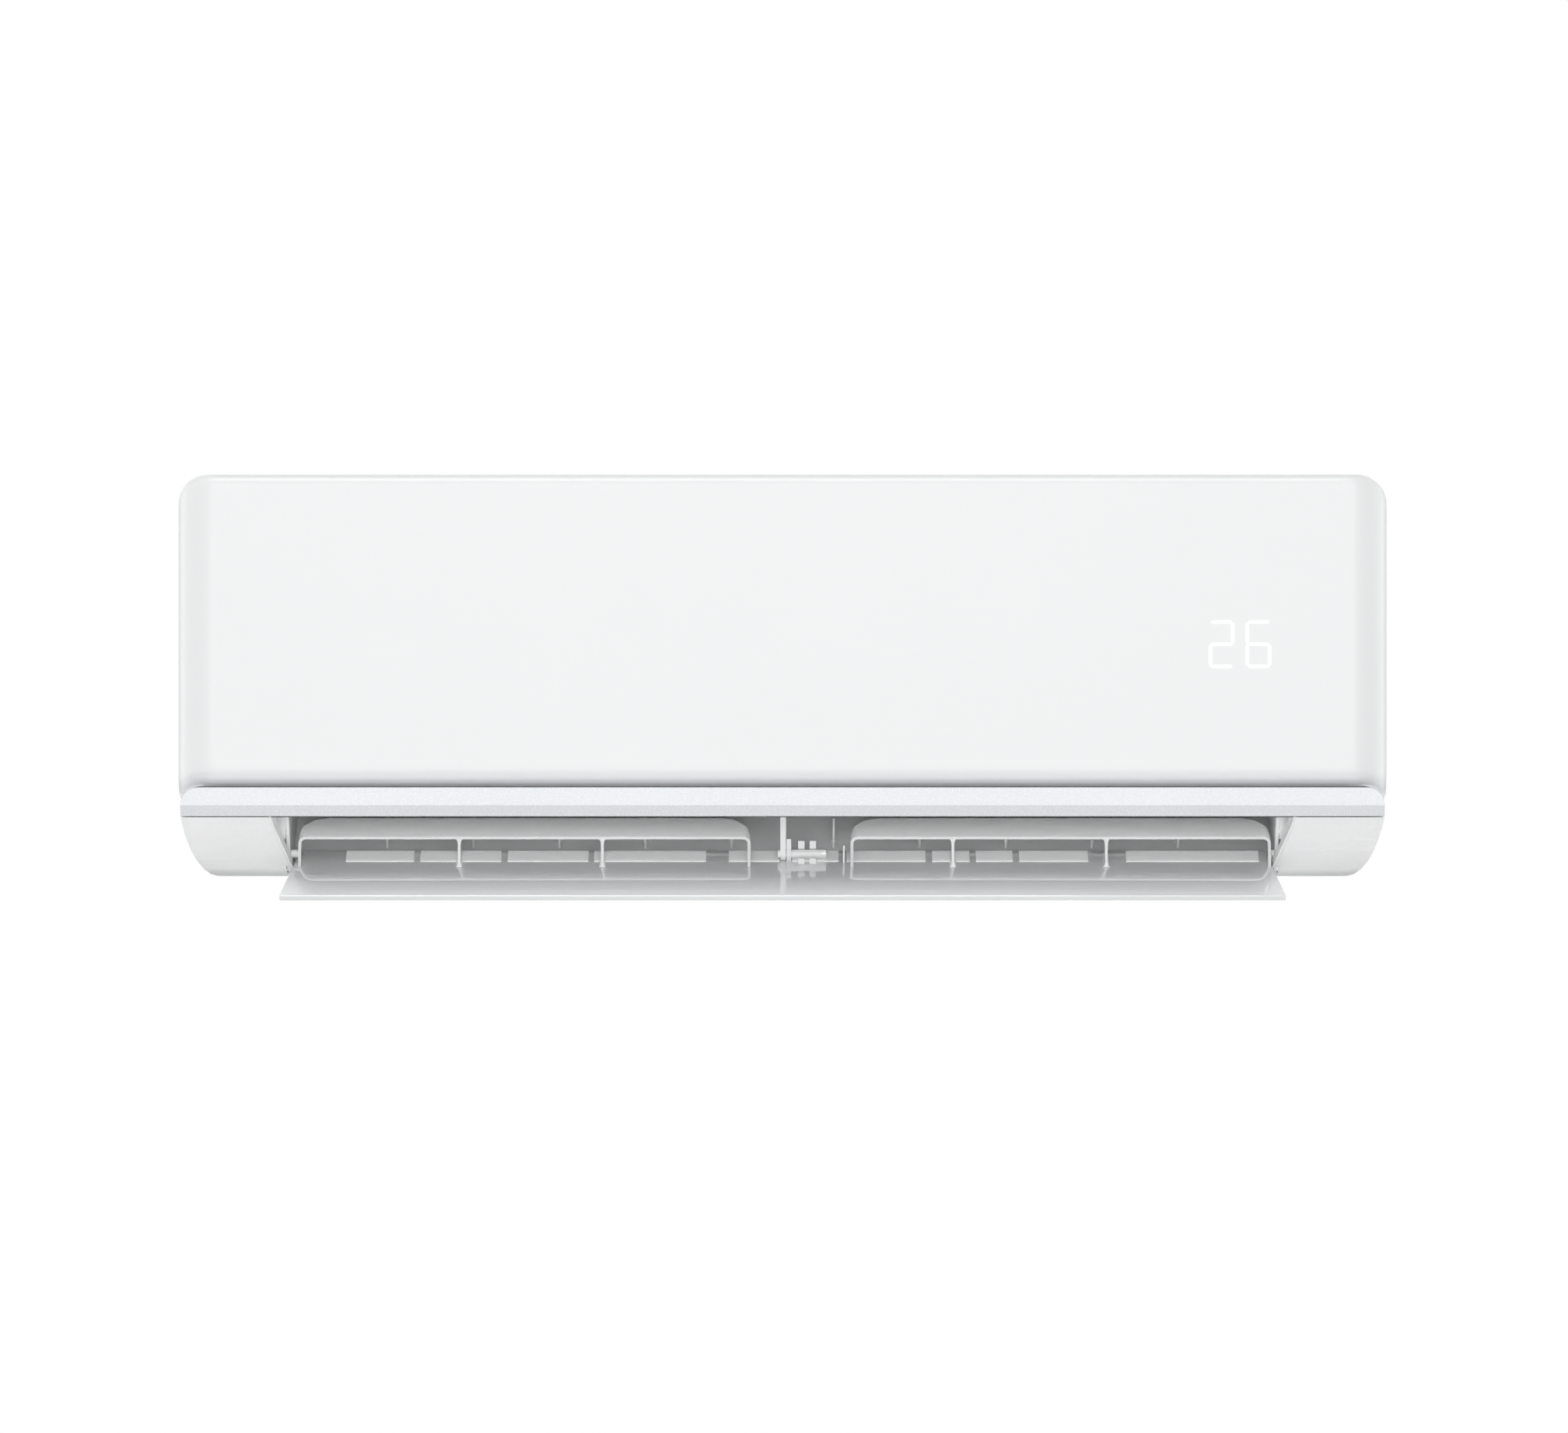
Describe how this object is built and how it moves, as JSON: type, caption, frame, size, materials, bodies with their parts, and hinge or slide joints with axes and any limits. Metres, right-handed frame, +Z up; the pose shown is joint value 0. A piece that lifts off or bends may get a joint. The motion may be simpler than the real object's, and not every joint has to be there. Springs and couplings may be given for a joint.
{
  "type": "mini split indoor unit",
  "caption": "Wall-hung indoor air conditioner: rounded white casing, silver strip, open louver, cross-flow fan, coil and filters inside.",
  "frame": {"origin": "middle of the mounting plate, on the face that lies against the wall", "axes": "+Z up, the unit faces -Y, +X to the right seen from the front; +Y points into the wall"},
  "size_m": [0.8864, 0.21, 0.3121],
  "materials": {
    "white_plastic": "fine satin moulding",
    "panel_plastic": "semi-gloss white",
    "silver_trim": "pearl silver-white",
    "inner_plastic": "matte pale grey",
    "louver_gloss": "glossy inner face, satin outer face",
    "louver_white": "satin white",
    "filter_plastic": "matte",
    "filter_net": "fine woven net",
    "fin_aluminium": "stacked fins",
    "zinc": "galvanised",
    "shaft_steel": "ground",
    "copper": "drawn copper tube",
    "brass": "turned brass",
    "bronze": "sintered bronze",
    "black_rubber": "matte",
    "fan_plastic": "matte black",
    "motor_resin": "moulded resin",
    "board": "solder mask",
    "black_plastic": "matte"
  },
  "bodies": {
    "housing": {"mounting_plate": "zinc", "base_chassis": "inner_plastic", "pipe_clamp": "inner_plastic", "front_frame": "white_plastic", "deco_strip": "silver_trim", "side_tab_left": "white_plastic", "side_tab_right": "white_plastic", "evap_fins_lower": "fin_aluminium", "evap_fins_upper": "fin_aluminium", "evap_fins_rear": "fin_aluminium", "evap_plate_left": "zinc", "evap_plate_right": "zinc", "evap_tubes": "copper", "drain_pan": "inner_plastic", "fan_bearing": "bronze", "bearing_seat": "black_rubber", "fan_motor": "motor_resin", "motor_clamp": "inner_plastic", "control_box": "inner_plastic", "control_box_cover": "zinc", "control_board": "board", "terminal_block": "inner_plastic", "cable_clamp": "black_plastic", "room_sensor": "black_plastic", "pipe_sensor": "copper", "centre_stay": "inner_plastic", "louver_motor": "zinc", "liquid_pipe": "copper", "suction_pipe": "copper", "flare_nut_liquid": "brass", "flare_nut_suction": "brass"},
    "front_panel": {"front_panel": "panel_plastic", "display_board": "board"},
    "louver": {"louver_flap": "louver_gloss", "louver_vane_left": "louver_white", "louver_vane_right": "louver_white", "louver_pivot_pin": "louver_white", "louver_crank": "louver_white", "louver_hinge_pin": "louver_white"},
    "fan": {"fan_wheel": "fan_plastic", "fan_end_shaft": "shaft_steel", "motor_shaft": "shaft_steel"},
    "filter_left": {"filter_frame_left": "filter_plastic", "filter_net_left": "filter_net"},
    "filter_right": {"filter_frame_right": "filter_plastic", "filter_net_right": "filter_net"},
    "auto_button": {"auto_button": "white_plastic"},
    "vane_left_1": {"vane_left_1": "inner_plastic"},
    "vane_left_2": {"vane_left_2": "inner_plastic"},
    "vane_left_3": {"vane_left_3": "inner_plastic"},
    "vane_left_4": {"vane_left_4": "inner_plastic"},
    "vane_left_5": {"vane_left_5": "inner_plastic"},
    "vane_link_left": {"vane_link_left": "inner_plastic"},
    "vane_right_1": {"vane_right_1": "inner_plastic"},
    "vane_right_2": {"vane_right_2": "inner_plastic"},
    "vane_right_3": {"vane_right_3": "inner_plastic"},
    "vane_right_4": {"vane_right_4": "inner_plastic"},
    "vane_right_5": {"vane_right_5": "inner_plastic"},
    "vane_link_right": {"vane_link_right": "inner_plastic"}
  },
  "joints": [
    {"name": "panel_hinge", "type": "hinge", "parent": "housing", "child": "front_panel", "pos_m": [0, -0.1985, 0.139], "axis": [-1, 0, 0], "range_deg": [0, 60]},
    {"name": "louver_swing", "type": "hinge", "parent": "housing", "child": "louver", "pos_m": [0, -0.1487, -0.131], "axis": [1, 0, 0], "range_deg": [-57, 20]},
    {"name": "fan_spin", "type": "hinge", "parent": "housing", "child": "fan", "pos_m": [0, -0.092, -0.042], "axis": [1, 0, 0], "continuous": true},
    {"name": "filter_left_slide", "type": "slide", "parent": "housing", "child": "filter_left", "axis": [0, 0, 1], "range_m": [0, 0.2]},
    {"name": "filter_right_slide", "type": "slide", "parent": "housing", "child": "filter_right", "axis": [0, 0, 1], "range_m": [0, 0.2]},
    {"name": "button_press", "type": "slide", "parent": "housing", "child": "auto_button", "axis": [0, 1, 0], "range_m": [0, 0.002], "stiffness_N_per_m": 400},
    {"name": "vane_left_1_turn", "type": "hinge", "parent": "housing", "child": "vane_left_1", "pos_m": [-0.038, -0.09208, -0.12269], "axis": [0, -0.5173, 0.8558], "range_deg": [-30, 30]},
    {"name": "vane_left_2_turn", "type": "hinge", "parent": "housing", "child": "vane_left_2", "pos_m": [-0.102, -0.09208, -0.12269], "axis": [0, -0.5173, 0.8558], "range_deg": [-30, 30]},
    {"name": "vane_left_3_turn", "type": "hinge", "parent": "housing", "child": "vane_left_3", "pos_m": [-0.166, -0.09208, -0.12269], "axis": [0, -0.5173, 0.8558], "range_deg": [-30, 30]},
    {"name": "vane_left_4_turn", "type": "hinge", "parent": "housing", "child": "vane_left_4", "pos_m": [-0.23, -0.09208, -0.12269], "axis": [0, -0.5173, 0.8558], "range_deg": [-30, 30]},
    {"name": "vane_left_5_turn", "type": "hinge", "parent": "housing", "child": "vane_left_5", "pos_m": [-0.294, -0.09208, -0.12269], "axis": [0, -0.5173, 0.8558], "range_deg": [-30, 30]},
    {"name": "vane_link_left_pivot", "type": "hinge", "parent": "vane_left_1", "child": "vane_link_left", "pos_m": [-0.038, -0.08352, -0.11751], "axis": [0, -0.5173, 0.8558], "range_deg": [-30, 30]},
    {"name": "vane_right_1_turn", "type": "hinge", "parent": "housing", "child": "vane_right_1", "pos_m": [0.038, -0.09208, -0.12269], "axis": [0, -0.5173, 0.8558], "range_deg": [-30, 30]},
    {"name": "vane_right_2_turn", "type": "hinge", "parent": "housing", "child": "vane_right_2", "pos_m": [0.102, -0.09208, -0.12269], "axis": [0, -0.5173, 0.8558], "range_deg": [-30, 30]},
    {"name": "vane_right_3_turn", "type": "hinge", "parent": "housing", "child": "vane_right_3", "pos_m": [0.166, -0.09208, -0.12269], "axis": [0, -0.5173, 0.8558], "range_deg": [-30, 30]},
    {"name": "vane_right_4_turn", "type": "hinge", "parent": "housing", "child": "vane_right_4", "pos_m": [0.23, -0.09208, -0.12269], "axis": [0, -0.5173, 0.8558], "range_deg": [-30, 30]},
    {"name": "vane_right_5_turn", "type": "hinge", "parent": "housing", "child": "vane_right_5", "pos_m": [0.294, -0.09208, -0.12269], "axis": [0, -0.5173, 0.8558], "range_deg": [-30, 30]},
    {"name": "vane_link_right_pivot", "type": "hinge", "parent": "vane_right_1", "child": "vane_link_right", "pos_m": [0.038, -0.08352, -0.11751], "axis": [0, -0.5173, 0.8558], "range_deg": [-30, 30]}
  ],
  "couplings": [
    {"joint": "vane_left_2_turn", "follows": "vane_left_1_turn", "ratio": 1},
    {"joint": "vane_left_3_turn", "follows": "vane_left_1_turn", "ratio": 1},
    {"joint": "vane_left_4_turn", "follows": "vane_left_1_turn", "ratio": 1},
    {"joint": "vane_left_5_turn", "follows": "vane_left_1_turn", "ratio": 1},
    {"joint": "vane_link_left_pivot", "follows": "vane_left_1_turn", "ratio": -1},
    {"joint": "vane_right_2_turn", "follows": "vane_right_1_turn", "ratio": 1},
    {"joint": "vane_right_3_turn", "follows": "vane_right_1_turn", "ratio": 1},
    {"joint": "vane_right_4_turn", "follows": "vane_right_1_turn", "ratio": 1},
    {"joint": "vane_right_5_turn", "follows": "vane_right_1_turn", "ratio": 1},
    {"joint": "vane_link_right_pivot", "follows": "vane_right_1_turn", "ratio": -1}
  ]
}
